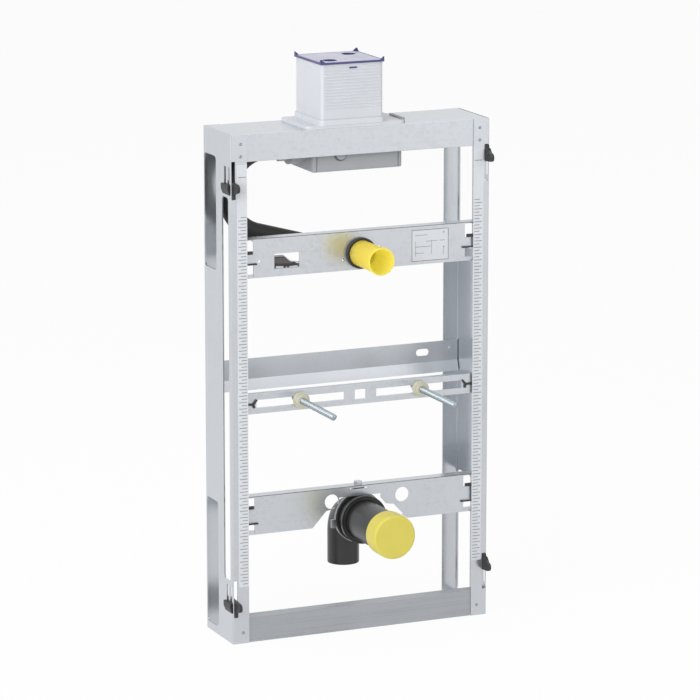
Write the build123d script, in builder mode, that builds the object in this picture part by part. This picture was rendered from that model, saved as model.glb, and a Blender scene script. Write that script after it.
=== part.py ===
# Urinal installation frame: a galvanised sheet-metal frame that is set into a stud wall.
# It carries the flush valve, the water inlet, the two ceramic studs and the drain bend.
# Millimetres. X runs to the right, Y to the rear, Z up. The front of the frame looks along -Y.
# The origin is the middle of the bottom rail's underside, where the frame stands.
import os
from math import cos, radians, sin, tan

from build123d import *

os.makedirs("parts", exist_ok=True)

# Frame of folded sheet
frame_width = 430.0
frame_depth = 110.0
frame_height = 790.0
sheet = 2.0
flange_width = 27.0
bend_radius = 3.0
fit = 0.3

# Cut-outs in the side panels; depths count back from the front face, drops down from the top
window_front = 58.0
window_lip = 5.0
window_corner = 6.0
upper_window_drop = 40.0
upper_window_height = 175.0
lower_window_bottom = 12.0
lower_window_height = 200.0
long_slot_lip = 9.0
long_slot_width = 25.0
slot_strip = 7.0

# Sliding levers that lock the frame between two wall profiles
lever_slot_length = 58.0
lever_slot_width = 6.0
lower_lever_bottom = 42.0
upper_lever_drop = 98.0
lever_height = 28.0
lever_thickness = 5.0
lever_end_play = 1.0
lever_side_play = 0.4
lever_tail = 26.0
lever_stem_reach = 4.0
lever_stem_height = 8.0
lever_nose_reach = 22.0
lever_nose_low = 4.0
lever_nose_high = 15.0
lever_nose_radius = 6.0
lever_root_radius = 3.0
peg_width = 5.0
peg_height = 10.0
peg_play = 1.0
peg_depths = (7.0, 21.0)
lug_depth = 28.0
lug_height = 16.0
lug_thickness = 4.0
lug_edge = 1.0

# Rails
top_rail_height = 42.0
rail_end_relief = 9.0
bottom_rail_height = 40.0
bottom_rail_depth = 22.0
rear_rail_bottom = 373.0
rear_rail_height = 49.0
rear_rail_band = 17.0
rear_rail_lean = 5.0
wall_slot_length = 22.0
wall_slot_width = 11.0
wall_slot_left_inset = 48.7
wall_slot_right_inset = 60.7

# Cross plates that clip on the front flanges
plate_setback = 5.0
plate_end_gap = 8.0
plate_face_gap = 12.0
plate_height = 60.0
plate_flange = 20.0
inlet_tab_height = 14.0
drain_tab_height = 22.0
inlet_height = 595.0
inlet_plate_drop = 26.0
inlet_hole_diameter = 4.5
inlet_holes = ((-28.0, -9.0), (31.0, 7.0))
end_hole_inset = 10.0
end_hole_drop = 1.0
drain_height = 178.0
drain_plate_drop = 9.0
stud_height = 374.0
stud_rail_height = 31.0
stud_rail_lip = 12.0
rail_hole_width = 18.0
rail_hole_height = 15.0
clip_knob_height = 5.0
clip_bar_height = 2.5
clip_knob_width = 20.0
clip_bar_lap = 5.0
fork_gap = 10.0
fork_stroke = 3.0
fork_arms = ((9.0, 50.0), (6.0, -75.0))

# Ceramic studs
stud_spacing = 200.0
stud_diameter = 10.0
stud_shank_diameter = 9.4
stud_reach = 125.0
stud_tail = 30.0
stud_slot_start = 27.0
stud_slot_margin = 4.0
stud_slot_height = 12.0
bushing_diameter = 25.0
bushing_hub_diameter = 19.0
bushing_flange = 8.0
bushing_hub_length = 4.0
nut_width = 17.0
nut_height = 8.0

# Water inlet
plug_diameter = 40.0
plug_mouth_diameter = 43.0
plug_wall = 2.5
plug_reach = 75.0
plug_insert = 18.0
plug_floor = 12.0
plug_flare_length = 20.0
collar_diameter = 48.0
collar_height = 7.0
elbow_socket_diameter = 46.0
elbow_socket_floor = 3.0
elbow_arm_diameter = 34.0
elbow_arm_length = 34.0
elbow_arm_angle = 8.0
elbow_bend_radius = 20.0
cutout_inset = 34.0
cutout_width = 41.0
cutout_drop = 14.0
cutout_height = 23.0
insert_margin = 4.0
insert_depth = 6.0
insert_low_height = 7.0
insert_high_height = 19.0
insert_step = 11.0
insert_slope = 24.0
insert_knee_height = 9.0

# Flush hose between the valve and the inlet
hose_diameter = 29.5
hose_depth = 60.0
hose_bend_share = 0.98
hose_sweep_radius = 150.0
hose_rise_angle = 15.5
hose_lead = 60.0
hose_side_gap = 3.25
hose_nut_diameter = 40.0
hose_nut_length = 16.0

# Flush valve and its shaft
valve_left = -76.0
valve_right = 73.0
valve_end_gap = 12.0
valve_drop = 68.0
valve_corner = 5.0
valve_outlet_drop = 35.0
valve_outlet_length = 22.0
valve_outlet_diameter = 50.0
valve_groove_inset = 7.0
valve_groove_width = 2.5
valve_groove_depth = 1.6
valve_port_x = -30.0
valve_port_diameter = 16.0
valve_port_length = 4.0
shaft_center_x = -13.5
shaft_end_gap = 4.0
shaft_wall = 2.5
shaft_height = 84.0
shaft_corner = 5.0
rib_height = 1.8
rib_depth = 0.8
rib_pitch = 4.8
rib_count = 14
shaft_collar_margin = 3.0
shaft_collar_height = 8.0
shaft_collar_taper = 6.0
base_width = 163.0
base_center_x = -7.5
base_end_gap = 2.0
base_thickness = 5.0
base_corner = 8.0
lid_thickness = 3.0
lid_overhang = 1.5
lid_corner = 1.5
horn_height = 5.0
horn_length = 6.0
horn_thickness = 1.6
finger_hole_diameter = 22.0
finger_hole_offset = 27.0
retainer_length = 46.0
retainer_width = 5.6
retainer_thickness = 3.0
retainer_center = 34.5

# Drain
pipe_diameter = 62.0
pipe_end = 20.0
drain_wall = 3.0
socket_diameter = 69.0
socket_reach = 12.0
socket_end = 26.0
socket_floor = 22.0
cone_end = 36.0
tail_diameter = 50.0
tail_drop = 86.0
drain_bend_depth = 71.0
drain_bend_radius = 35.0
drain_collar_diameter = 76.0
drain_collar_height = 6.0
cap_diameter = 69.0
cap_reach = 127.0
cap_length = 32.0
cap_wall = 4.0
cap_edge = 4.0
notch_foot = 80.0
notch_shoulder = 57.0
notch_neck = 44.0
notch_throat = 35.2
notch_shoulder_rise = 16.0
notch_neck_rise = 18.0
notch_throat_rise = 28.0
notch_top_rise = 35.2
plate_hole_diameter = 23.0
plate_hole_left = -48.0
plate_hole_right = 71.0
plate_hole_rise = 30.0
slit_center = -2.0
slit_length = 30.0
slit_height = 2.0
slit_drop = 4.0
lining_thickness = 3.2
clamp_thickness = 1.6
clamp_width = 10.0
clamp_band_width = 5.0
clamp_gap = 2.0
clamp_block_width = 18.0
clamp_ear_reach = 8.0
clamp_ear_height = 13.0
clamp_ear_drop = 7.0
bolt_diameter = 8.0
bolt_head_width = 12.0
bolt_head_height = 5.5

# Places worked out from the sizes above
half_width = frame_width / 2
inner_half = half_width - sheet
flange_edge = half_width - flange_width
front_y = -(sheet + bottom_rail_depth / 2)
middle_y = front_y + frame_depth / 2
inner_bend = bend_radius - sheet
rail_half = inner_half - inner_bend - fit
plate_back = plate_setback + sheet
plate_half_length = inner_half - plate_end_gap
plate_half_face = flange_edge - plate_face_gap
cutout_left = cutout_inset - plate_half_face
wall_slot_left = wall_slot_left_inset - rail_half
wall_slot_right = rail_half - wall_slot_right_inset
upper_lever_bottom = frame_height - upper_lever_drop
lever_travel = lever_slot_length - lever_height - 2 * lever_end_play
shaft_bottom = frame_height + base_thickness + shaft_collar_height
shaft_top = shaft_bottom + shaft_height


def at_depth(depth):
    """Upright plane facing forward, the given distance behind the front face."""
    return Plane.XZ.offset(-(front_y + depth))


def save(part, name):
    part.label = name
    export_step(part, f"parts/{name}.step")


# Side panels: one folded sheet each, with the windows and lever slots punched in
window_width = frame_depth - window_lip - window_front
window_middle = front_y + window_front + window_width / 2
upper_window_middle = frame_height - upper_window_drop - upper_window_height / 2
lower_window_middle = lower_window_bottom + lower_window_height / 2
guide_height = lever_travel + peg_height + 2 * peg_play
guide_margin = (lever_slot_length - guide_height) / 2
long_slot_bottom = lower_lever_bottom + guide_margin + guide_height + slot_strip
long_slot_top = upper_lever_bottom + guide_margin - slot_strip
long_slot_middle = (long_slot_bottom + long_slot_top) / 2
lever_slot_x = inner_half - lever_slot_width / 2
for side, side_name in ((-1, "left"), (1, "right")):
    outer_group, inner_group = (0, 1) if side < 0 else (-1, -2)
    with BuildPart() as panel:
        with BuildSketch() as section:
            with Locations((side * (half_width - flange_width / 2), middle_y)):
                Rectangle(flange_width, frame_depth)
            with Locations((side * (inner_half - flange_width / 2), middle_y)):
                Rectangle(flange_width, frame_depth - 2 * sheet, mode=Mode.SUBTRACT)
            fillet(section.vertices().group_by(Axis.X)[inner_group], radius=inner_bend)
            fillet(section.vertices().group_by(Axis.X)[outer_group], radius=bend_radius)
        extrude(amount=frame_height)
        with BuildSketch(Plane.YZ.offset(side * (half_width + sheet))) as web_cuts:
            with Locations((window_middle, upper_window_middle)):
                RectangleRounded(window_width, upper_window_height, window_corner)
            with Locations((window_middle, lower_window_middle)):
                RectangleRounded(window_width, lower_window_height, window_corner)
            with Locations((front_y + long_slot_lip + long_slot_width / 2, long_slot_middle)):
                RectangleRounded(long_slot_width, long_slot_top - long_slot_bottom, window_corner)
            for slot_bottom in (lower_lever_bottom, upper_lever_bottom):
                for peg_depth in peg_depths:
                    with Locations((front_y + peg_depth, slot_bottom + lever_slot_length / 2)):
                        Rectangle(peg_width + 2 * peg_play, guide_height)
        extrude(amount=-side * 3 * sheet, mode=Mode.SUBTRACT)
        with BuildSketch(at_depth(-sheet)) as lever_slots:
            for slot_bottom in (lower_lever_bottom, upper_lever_bottom):
                with Locations((side * lever_slot_x, slot_bottom + lever_slot_length / 2)):
                    Rectangle(lever_slot_width, lever_slot_length)
        extrude(amount=-(sheet + bend_radius), mode=Mode.SUBTRACT)
    save(panel.part, f"{side_name}_side_panel")

# Levers: a thumb nose in front, two pegs through the web and a wedge-shaped lug outside it.
# The left levers are the right ones turned upside down.
fin_outer = inner_half - lever_side_play
lug_inner = half_width + lever_side_play
nose_y = front_y - lever_nose_reach
stem_y = front_y - lever_stem_reach
tail_y = front_y + lever_tail
for side, side_name in ((-1, "left"), (1, "right")):
    for slot_bottom, level_name in ((lower_lever_bottom, "lower"), (upper_lever_bottom, "upper")):
        rest_lift = lever_end_play if side < 0 else lever_end_play + lever_travel
        lever_middle = slot_bottom + rest_lift + lever_height / 2
        foot_z = lever_middle - side * lever_height / 2
        head_z = lever_middle + side * lever_height / 2
        with BuildPart() as lever:
            with BuildSketch(Plane.YZ.offset(side * fin_outer)) as fin:
                with BuildLine():
                    FilletPolyline(
                        (tail_y, foot_z),
                        (nose_y, foot_z + side * lever_nose_low),
                        (nose_y, foot_z + side * lever_nose_high),
                        (stem_y, head_z - side * lever_stem_height),
                        (stem_y, head_z),
                        radius=[lever_nose_radius, lever_nose_radius, lever_root_radius],
                    )
                    Polyline((stem_y, head_z), (tail_y, head_z), (tail_y, foot_z))
                make_face()
            extrude(amount=-side * lever_thickness)
            with BuildSketch(Plane.YZ.offset(side * fin_outer)) as pegs:
                for peg_depth in peg_depths:
                    with Locations((front_y + peg_depth, lever_middle)):
                        Rectangle(peg_width, peg_height)
            extrude(amount=side * (lug_inner - fin_outer))
            lug_foot = lever_middle - side * lug_height / 2
            lug_head = lever_middle + side * lug_height / 2
            with BuildSketch(at_depth(0)) as lug:
                with BuildLine():
                    Polyline(
                        (side * lug_inner, lug_foot),
                        (side * (lug_inner + lug_thickness), lug_foot),
                        (side * (lug_inner + lug_thickness), lever_middle),
                        (side * (lug_inner + lug_edge), lug_head),
                        (side * lug_inner, lug_head),
                        close=True,
                    )
                make_face()
            extrude(amount=-lug_depth)
        save(lever.part, f"{level_name}_{side_name}_lever")

# Top rail: a channel open below, let in between the side panels
valve_depth = frame_depth - 2 * valve_end_gap
valve_width = valve_right - valve_left
valve_x = (valve_left + valve_right) / 2
with BuildPart() as top_rail:
    with BuildSketch(Plane.YZ) as section:
        with Locations((middle_y, frame_height - top_rail_height / 2)):
            Rectangle(frame_depth - 2 * sheet, top_rail_height)
        with Locations((middle_y, frame_height - sheet - top_rail_height / 2)):
            Rectangle(frame_depth - 4 * sheet, top_rail_height, mode=Mode.SUBTRACT)
    extrude(amount=rail_half, both=True)
    relief_x = inner_half - rail_end_relief / 2
    relief_z = frame_height - bend_radius - top_rail_height / 2
    with BuildSketch(at_depth(0)) as reliefs:
        with Locations((-relief_x, relief_z), (relief_x, relief_z)):
            Rectangle(rail_end_relief, top_rail_height)
    extrude(amount=-frame_depth, mode=Mode.SUBTRACT)
    with BuildSketch(Plane.XY.offset(frame_height - 2 * sheet)) as valve_opening:
        with Locations((valve_x, middle_y)):
            Rectangle(valve_width + 2 * fit, valve_depth + 2 * fit)
    extrude(amount=3 * sheet, mode=Mode.SUBTRACT)
save(top_rail.part, "top_rail")

# Bottom rail: a plain channel open to the rear
with BuildPart() as bottom_rail:
    with BuildSketch(Plane.YZ) as section:
        with Locations((0, bottom_rail_height / 2)):
            Rectangle(bottom_rail_depth, bottom_rail_height)
        with Locations((sheet, bottom_rail_height / 2)):
            Rectangle(bottom_rail_depth, bottom_rail_height - 2 * sheet, mode=Mode.SUBTRACT)
    extrude(amount=rail_half, both=True)
save(bottom_rail.part, "bottom_rail")

# Rear rail: a strip on the rear flanges with its lower edge bent forward, slotted for wall bolts
rear_rail_top = rear_rail_bottom + rear_rail_height
rear_rail_back = front_y + frame_depth - sheet
rear_rail_fold = rear_rail_bottom + rear_rail_band
wall_slot_height = (rear_rail_top + rear_rail_fold) / 2
with BuildPart() as rear_rail:
    with BuildSketch(Plane.YZ) as section:
        with BuildLine():
            Polyline(
                (rear_rail_back, rear_rail_top),
                (rear_rail_back, rear_rail_fold),
                (rear_rail_back - rear_rail_lean, rear_rail_bottom),
                (rear_rail_back - rear_rail_lean - sheet, rear_rail_bottom),
                (rear_rail_back - sheet, rear_rail_fold),
                (rear_rail_back - sheet, rear_rail_top),
                close=True,
            )
        make_face()
    extrude(amount=rail_half, both=True)
    with BuildSketch(at_depth(frame_depth)) as wall_slots:
        with Locations((wall_slot_left, wall_slot_height), (wall_slot_right, wall_slot_height)):
            SlotOverall(wall_slot_length, wall_slot_width)
    extrude(amount=4 * sheet, mode=Mode.SUBTRACT)
save(rear_rail.part, "rear_rail")

# Inlet plate: folded cross plate for the water inlet
inlet_plate_bottom = inlet_height - inlet_plate_drop
inlet_plate_top = inlet_plate_bottom + plate_height
inlet_plate_middle = inlet_plate_bottom + plate_height / 2
cutout_bottom = inlet_height - cutout_drop
with BuildPart() as inlet_plate:
    with BuildSketch(at_depth(plate_setback)) as face:
        with Locations((0, inlet_plate_middle)):
            Rectangle(2 * plate_half_face, plate_height)
            Rectangle(2 * plate_half_length, inlet_tab_height)
        with Locations((0, inlet_height)):
            Circle(plug_diameter / 2 + fit, mode=Mode.SUBTRACT)
        with Locations((cutout_left + cutout_width / 2, cutout_bottom + cutout_height / 2)):
            Rectangle(cutout_width, cutout_height, mode=Mode.SUBTRACT)
        for hole_x, hole_rise in (*inlet_holes, (end_hole_inset - plate_half_face, -end_hole_drop)):
            with Locations((hole_x, inlet_height + hole_rise)):
                Circle(inlet_hole_diameter / 2, mode=Mode.SUBTRACT)
    extrude(amount=-sheet)
    with BuildSketch(at_depth(plate_setback)) as flanges:
        for flange_middle in (inlet_plate_bottom + sheet / 2, inlet_plate_top - sheet / 2):
            with Locations((0, flange_middle)):
                Rectangle(2 * plate_half_length, sheet)
    extrude(amount=-plate_flange)
save(inlet_plate.part, "inlet_plate")

# Stud rail: slotted cross rail for the two ceramic studs
stud_slot_end = plate_half_face - stud_slot_margin
stud_slot_middle = (stud_slot_start + stud_slot_end) / 2
with BuildPart() as stud_rail:
    with BuildSketch(at_depth(plate_setback)) as face:
        with Locations((0, stud_height)):
            Rectangle(2 * plate_half_length, stud_rail_height)
        for side in (-1, 1):
            with Locations((side * stud_slot_middle, stud_height)):
                Rectangle(stud_slot_end - stud_slot_start, stud_slot_height, mode=Mode.SUBTRACT)
        with Locations((0, stud_height)):
            Rectangle(rail_hole_width, rail_hole_height, mode=Mode.SUBTRACT)
    extrude(amount=-sheet)
    with BuildSketch(at_depth(plate_setback)) as lips:
        for side in (-1, 1):
            with Locations((0, stud_height + side * (stud_rail_height - sheet) / 2)):
                Rectangle(2 * plate_half_length, sheet)
    extrude(amount=-stud_rail_lip)
save(stud_rail.part, "stud_rail")

# Drain plate: folded cross plate with a notch for the drain socket
drain_plate_bottom = drain_height - drain_plate_drop
drain_plate_top = drain_plate_bottom + plate_height
drain_plate_middle = drain_plate_bottom + plate_height / 2
plate_hole_height = drain_height + plate_hole_rise
clamp_middle = plate_back + clamp_gap + clamp_width / 2
with BuildPart() as drain_plate:
    with BuildSketch(at_depth(plate_setback)) as face:
        with Locations((0, drain_plate_middle)):
            Rectangle(2 * plate_half_face, plate_height)
            Rectangle(2 * plate_half_length, drain_tab_height)
        with Locations((plate_hole_left, plate_hole_height), (plate_hole_right, plate_hole_height)):
            Circle(plate_hole_diameter / 2, mode=Mode.SUBTRACT)
        with Locations((slit_center, drain_plate_top - slit_drop)):
            Rectangle(slit_length, slit_height, mode=Mode.SUBTRACT)
    extrude(amount=-sheet)
    with BuildSketch(at_depth(plate_setback)) as flanges:
        for flange_middle in (drain_plate_bottom + sheet / 2, drain_plate_top - sheet / 2):
            with Locations((0, flange_middle)):
                Rectangle(2 * plate_half_length, sheet)
    extrude(amount=-plate_flange)
    with BuildSketch(at_depth(0)) as notch:
        with BuildLine():
            Polyline(
                (0, drain_plate_bottom - sheet),
                (notch_foot, drain_plate_bottom - sheet),
                (notch_foot, drain_plate_bottom),
                (notch_shoulder, drain_height + notch_shoulder_rise),
                (notch_neck, drain_height + notch_neck_rise),
                (notch_throat, drain_height + notch_throat_rise),
                (notch_throat, drain_height + notch_top_rise),
                (0, drain_height + notch_top_rise),
                close=True,
            )
        make_face()
        mirror(about=Plane.YZ)
    extrude(amount=-(plate_setback + 2 * plate_flange), mode=Mode.SUBTRACT)
    with BuildSketch(Plane.XY.offset(drain_plate_top + sheet)) as bolt_hole:
        with Locations((0, front_y + clamp_middle)):
            Circle(bolt_diameter / 2 + fit)
    extrude(amount=-3 * sheet, mode=Mode.SUBTRACT)
save(drain_plate.part, "drain_plate")

# Plastic clips that hold the two plates' tabs behind the inner edges of the front flanges
clip_inner = flange_edge + fit
pad_width = plate_half_length - clip_inner
pad_depth = plate_setback - sheet
bar_start = plate_half_face - clip_bar_lap
bar_width = plate_half_length - bar_start
for clip_middle, tab_height, clip_name in (
    (inlet_plate_middle, inlet_tab_height, "inlet_plate_clips"),
    (drain_plate_middle, drain_tab_height, "drain_plate_clips"),
):
    bar_top = clip_middle - tab_height / 2
    knob_bottom = clip_middle + tab_height / 2
    pad_height = clip_bar_height + tab_height + clip_knob_height
    pad_middle = bar_top - clip_bar_height + pad_height / 2
    with BuildPart() as clips:
        for side in (-1, 1):
            with BuildSketch(at_depth(sheet)) as pad:
                with Locations((side * (clip_inner + pad_width / 2), pad_middle)):
                    Rectangle(pad_width, pad_height)
                with Locations((side * (bar_start + bar_width / 2), bar_top - clip_bar_height / 2)):
                    Rectangle(bar_width, clip_bar_height)
                with Locations((side * (clip_inner - fit), knob_bottom + clip_knob_height / 2)):
                    Rectangle(clip_knob_width, clip_knob_height)
            extrude(amount=-pad_depth)
    save(clips.part, clip_name)

# Fork clips that hold the stud rail: a bar behind the post ends in two short arms
fork_x = flange_edge - fork_gap
with BuildPart() as stud_rail_clips:
    for side in (-1, 1):
        with BuildSketch(at_depth(sheet)) as fork:
            with Locations((side * (fork_x + plate_half_length) / 2, stud_height)):
                Rectangle(plate_half_length - fork_x, fork_stroke)
            for arm_length, arm_angle in fork_arms:
                arm_x = fork_x - cos(radians(arm_angle)) * arm_length / 2
                arm_z = stud_height + sin(radians(arm_angle)) * arm_length / 2
                with Locations((side * arm_x, arm_z)):
                    Rectangle(arm_length, fork_stroke, rotation=-side * arm_angle)
            with Locations((side * fork_x, stud_height)):
                Circle(fork_stroke / 2)
        extrude(amount=-pad_depth)
save(stud_rail_clips.part, "stud_rail_clips")

# Studs with their plastic bushings in front of the rail and a nut behind it
bushing_front = plate_setback - bushing_flange - bushing_hub_length
for side, side_name in ((-1, "left"), (1, "right")):
    stud_x = side * stud_spacing / 2
    with BuildPart() as stud:
        with BuildSketch(at_depth(-stud_reach)) as shank_section:
            with Locations((stud_x, stud_height)):
                Circle(stud_shank_diameter / 2)
        extrude(amount=-(stud_reach + stud_tail))
        with BuildSketch(at_depth(-stud_reach)) as thread_section:
            with Locations((stud_x, stud_height)):
                Circle(stud_diameter / 2)
        extrude(amount=-(stud_reach + bushing_front - fit))
    save(stud.part, f"{side_name}_stud")
    with BuildPart() as bushing:
        with BuildSketch(at_depth(plate_setback)) as flange_section:
            with Locations((stud_x, stud_height)):
                Circle(bushing_diameter / 2)
        extrude(amount=bushing_flange)
        with BuildSketch(at_depth(plate_setback - bushing_flange)) as hub_section:
            with Locations((stud_x, stud_height)):
                Circle(bushing_hub_diameter / 2)
        extrude(amount=bushing_hub_length)
        with BuildSketch(at_depth(plate_setback)) as bore:
            with Locations((stud_x, stud_height)):
                Circle(stud_shank_diameter / 2 + fit)
        extrude(amount=bushing_flange + bushing_hub_length, mode=Mode.SUBTRACT)
    save(bushing.part, f"{side_name}_stud_bushing")
    with BuildPart() as nut:
        with BuildSketch(at_depth(plate_back)) as section:
            with Locations((stud_x, stud_height)):
                RegularPolygon(nut_width / 2, 6, major_radius=False)
                Circle(stud_shank_diameter / 2 + fit, mode=Mode.SUBTRACT)
        extrude(amount=-nut_height)
    save(nut.part, f"{side_name}_stud_nut")

# Collar ring in front of the inlet plate
with BuildPart() as inlet_collar:
    with BuildSketch(at_depth(plate_setback)) as section:
        with Locations((0, inlet_height)):
            Circle(collar_diameter / 2)
            Circle(plug_diameter / 2 + fit, mode=Mode.SUBTRACT)
    extrude(amount=collar_height)
save(inlet_collar.part, "inlet_collar")

# Protective plug: a cup turned about the inlet axis, open to the front
inlet_axis = Axis((0, 0, inlet_height), (0, 1, 0))
plug_radius = plug_diameter / 2
mouth_radius = plug_mouth_diameter / 2
with BuildPart() as inlet_plug:
    with BuildSketch(Plane.YZ) as profile:
        with BuildLine():
            Polyline(
                (front_y + plate_back + plug_insert, inlet_height + plug_radius - plug_wall),
                (front_y + plate_back + plug_insert, inlet_height + plug_radius),
                (front_y - plug_reach + plug_flare_length, inlet_height + plug_radius),
                (front_y - plug_reach, inlet_height + mouth_radius),
                (front_y - plug_reach, inlet_height + mouth_radius - plug_wall),
                (front_y - plug_reach + plug_flare_length, inlet_height + plug_radius - plug_wall),
                (front_y - plug_floor - plug_wall, inlet_height + plug_radius - plug_wall),
                (front_y - plug_floor - plug_wall, inlet_height),
                (front_y - plug_floor, inlet_height),
                (front_y - plug_floor, inlet_height + plug_radius - plug_wall),
                close=True,
            )
        make_face()
    revolve(axis=inlet_axis)
save(inlet_plug.part, "inlet_plug")

# Inlet elbow behind the plate: short socket for the plug, narrower bend and arm towards the hose
arm_direction = Vector(-cos(radians(elbow_arm_angle)), 0, sin(radians(elbow_arm_angle)))
elbow_center = Vector(0, front_y + hose_depth, inlet_height)
bend_plane = Plane(elbow_center, x_dir=arm_direction, z_dir=arm_direction.cross(Vector(0, 1, 0)))
neck_length = hose_depth - plate_back - plug_insert
with BuildPart() as inlet_elbow:
    with BuildSketch(at_depth(plate_back)) as socket_section:
        with Locations((0, inlet_height)):
            Circle(elbow_socket_diameter / 2)
    extrude(amount=-(plug_insert + fit + elbow_socket_floor))
    with BuildLine(bend_plane) as bend_route:
        FilletPolyline((0, -neck_length), (0, 0), (elbow_arm_length, 0), radius=elbow_bend_radius)
    with BuildSketch(Plane(bend_route.line @ 0, z_dir=bend_route.line % 0)) as bend_section:
        Circle(elbow_arm_diameter / 2)
    sweep(path=bend_route.line)
    with BuildSketch(at_depth(plate_back)) as bore:
        with Locations((0, inlet_height)):
            Circle(plug_diameter / 2 + fit)
    extrude(amount=-(plug_insert + fit), mode=Mode.SUBTRACT)
save(inlet_elbow.part, "inlet_elbow")

# Flush hose: out of the valve, round the left post and down to the inlet elbow.
# Its two tight bends share the height between the valve's outlet and the hose's knee,
# and the upper one has to turn between the outlet's nut and the post.
valve_bottom = frame_height - valve_drop
valve_outlet_height = frame_height - valve_outlet_drop
hose_left = -(inner_half - hose_side_gap - hose_diameter / 2)
valve_end = valve_left - valve_outlet_length
arm_end = elbow_center + arm_direction * elbow_arm_length
turn_point = elbow_center + arm_direction * hose_lead
hose_climb = (turn_point.X - hose_left) * tan(radians(hose_rise_angle))
hose_knee_height = turn_point.Z + hose_climb
knee_share = tan(radians(90 - hose_rise_angle) / 2)
hose_drop_room = (valve_outlet_height - hose_knee_height) / (1 + knee_share)
hose_side_room = valve_end - hose_nut_length - hose_left
hose_bend_radius = hose_bend_share * min(hose_drop_room, hose_side_room)
with BuildPart() as supply_hose:
    with BuildLine(at_depth(hose_depth)) as route:
        FilletPolyline(
            (valve_end, valve_outlet_height),
            (hose_left, valve_outlet_height),
            (hose_left, hose_knee_height),
            (turn_point.X, turn_point.Z),
            (arm_end.X, arm_end.Z),
            radius=[hose_bend_radius, hose_bend_radius, hose_sweep_radius],
        )
    with BuildSketch(Plane(route.line @ 0, z_dir=route.line % 0)) as section:
        Circle(hose_diameter / 2)
    sweep(path=route.line)
save(supply_hose.part, "supply_hose")

# Union nuts at the two hose ends
valve_nut_start = Vector(valve_end, front_y + hose_depth, valve_outlet_height)
nut_planes = (
    ("valve_hose_nut", Plane(valve_nut_start, z_dir=(-1, 0, 0))),
    ("elbow_hose_nut", Plane(arm_end, z_dir=arm_direction)),
)
for hose_nut_name, nut_plane in nut_planes:
    with BuildPart() as hose_nut:
        with BuildSketch(nut_plane) as section:
            RegularPolygon(hose_nut_diameter / 2, 8)
            Circle(hose_diameter / 2 + fit, mode=Mode.SUBTRACT)
        extrude(amount=hose_nut_length)
    save(hose_nut.part, hose_nut_name)

# Snap insert behind the rectangular cut-out; it closes the cut-out's lower left part
insert_right = cutout_left + cutout_width
insert_corners = (
    (insert_right, insert_low_height),
    (insert_right - insert_step, insert_knee_height),
    (insert_right - insert_slope, insert_high_height),
)
with BuildPart() as plate_insert:
    for plane_depth, margin, amount in (
        (plate_back, insert_margin, -insert_depth),
        (plate_back, -fit, sheet / 2),
    ):
        with BuildSketch(at_depth(plane_depth)) as section:
            with BuildLine():
                Polyline(
                    (cutout_left - margin, cutout_bottom - margin),
                    (insert_right + margin, cutout_bottom - margin),
                    (insert_right + margin, cutout_bottom + insert_low_height),
                    *[(corner_x, cutout_bottom + rise) for corner_x, rise in insert_corners],
                    (cutout_left - margin, cutout_bottom + insert_high_height),
                    close=True,
                )
            make_face()
        extrude(amount=amount)
save(plate_insert.part, "plate_insert")

# Flush valve housing hanging in the top rail, with its outlet stub to the left
stub_start = Vector(valve_left, front_y + hose_depth, valve_outlet_height)
valve_groove_middle = frame_height - valve_drop / 2
with BuildPart() as valve_housing:
    with BuildSketch(Plane.XY.offset(valve_bottom)) as section:
        with Locations((valve_x, middle_y)):
            RectangleRounded(valve_width, valve_depth, valve_corner)
    extrude(amount=frame_height - valve_bottom)
    fillet(valve_housing.faces().sort_by(Axis.Z)[0].edges(), radius=valve_corner / 2)
    with BuildSketch(Plane(stub_start, z_dir=(-1, 0, 0))) as stub:
        Circle(valve_outlet_diameter / 2)
    extrude(amount=valve_outlet_length)
    groove_half = valve_width / 2 - valve_groove_inset
    with BuildSketch(at_depth(valve_end_gap)) as grooves:
        for side in (-1, 1):
            with Locations((valve_x + side * groove_half, valve_groove_middle)):
                Rectangle(valve_groove_width, valve_drop)
    extrude(amount=-valve_groove_depth, mode=Mode.SUBTRACT)
    with BuildSketch(at_depth(valve_end_gap)) as port:
        with Locations((valve_port_x, frame_height - top_rail_height)):
            Circle(valve_port_diameter / 2)
    extrude(amount=valve_port_length)
save(valve_housing.part, "valve_housing")

# Base of the shaft: flange on the top rail with a collar around the shaft's foot
shaft_size = frame_depth - 2 * shaft_end_gap
shaft_middle = (shaft_center_x, middle_y)
collar_size = shaft_size + 2 * shaft_collar_margin
shaft_opening = shaft_size - 2 * shaft_wall
base_depth = frame_depth - 2 * base_end_gap
with BuildPart() as shaft_base:
    with BuildSketch(Plane.XY.offset(frame_height)) as plate_section:
        with Locations((base_center_x, middle_y)):
            RectangleRounded(base_width, base_depth, base_corner)
    extrude(amount=base_thickness)
    with BuildSketch(Plane.XY.offset(frame_height + base_thickness)) as collar_section:
        with Locations(shaft_middle):
            RectangleRounded(collar_size, collar_size, shaft_corner + shaft_collar_margin)
    extrude(amount=shaft_collar_height, taper=shaft_collar_taper)
    with BuildSketch(Plane.XY.offset(frame_height)) as opening:
        with Locations(shaft_middle):
            RectangleRounded(shaft_opening, shaft_opening, shaft_corner)
    extrude(amount=base_thickness + shaft_collar_height, mode=Mode.SUBTRACT)
save(shaft_base.part, "shaft_base")

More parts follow.
